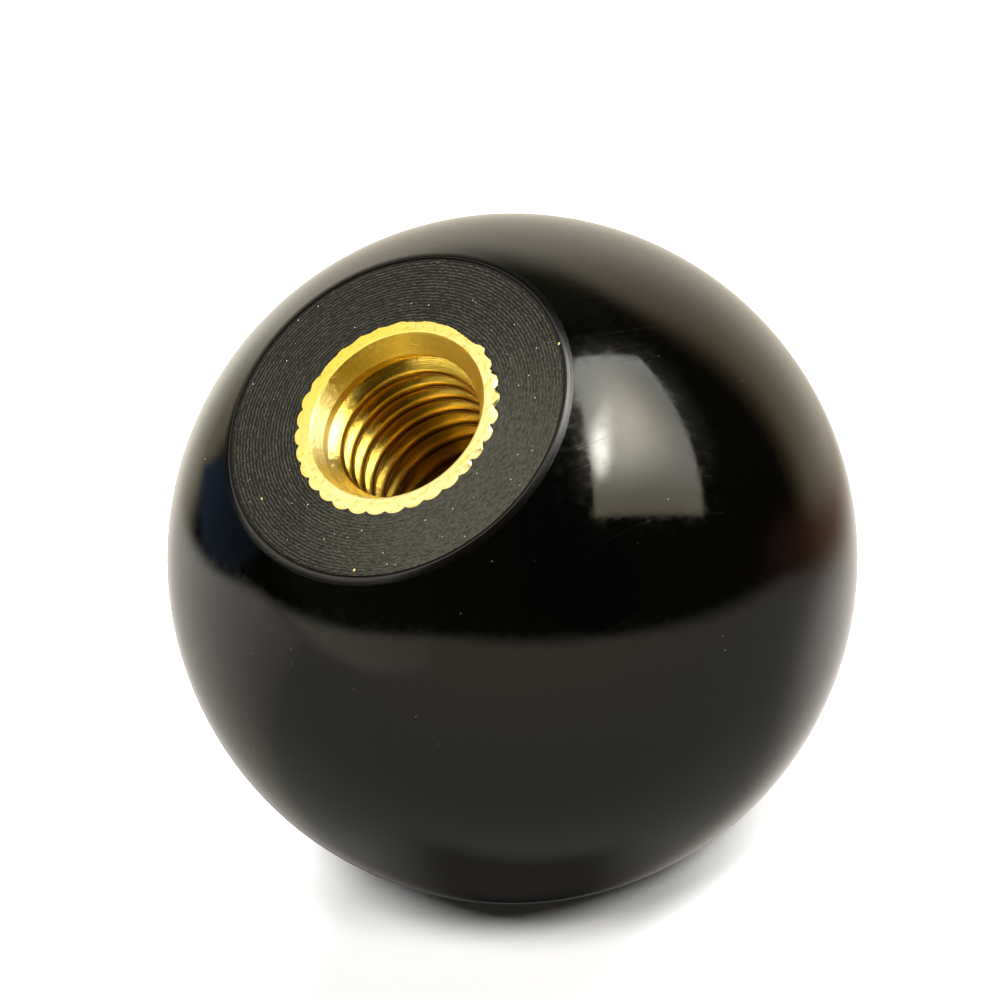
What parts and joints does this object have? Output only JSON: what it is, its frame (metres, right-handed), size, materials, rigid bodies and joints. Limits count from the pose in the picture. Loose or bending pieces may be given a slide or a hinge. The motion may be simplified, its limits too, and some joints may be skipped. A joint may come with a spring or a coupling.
{
  "type": "ball knob",
  "caption": "Glossy black phenolic ball knob with a flat seating face and a knurled brass insert threaded for a lever or rod end.",
  "frame": {"origin": "centre of the flat seating face, on the knob's axis", "axes": "+Z along the knob's axis, out of the threaded mouth; the ball lies below the origin and its crown is the lowest point; +X is a radial direction through a tooth of the knurl, and otherwise any, since the knob is round about Z"},
  "size_m": [0.04, 0.04, 0.037],
  "materials": {
    "ball": "polished black phenolic, turned matte on the flat face",
    "threaded_insert": "machined brass, bright turned end"
  },
  "bodies": {
    "root": {"ball": "ball", "threaded_insert": "threaded_insert"}
  },
  "joints": []
}
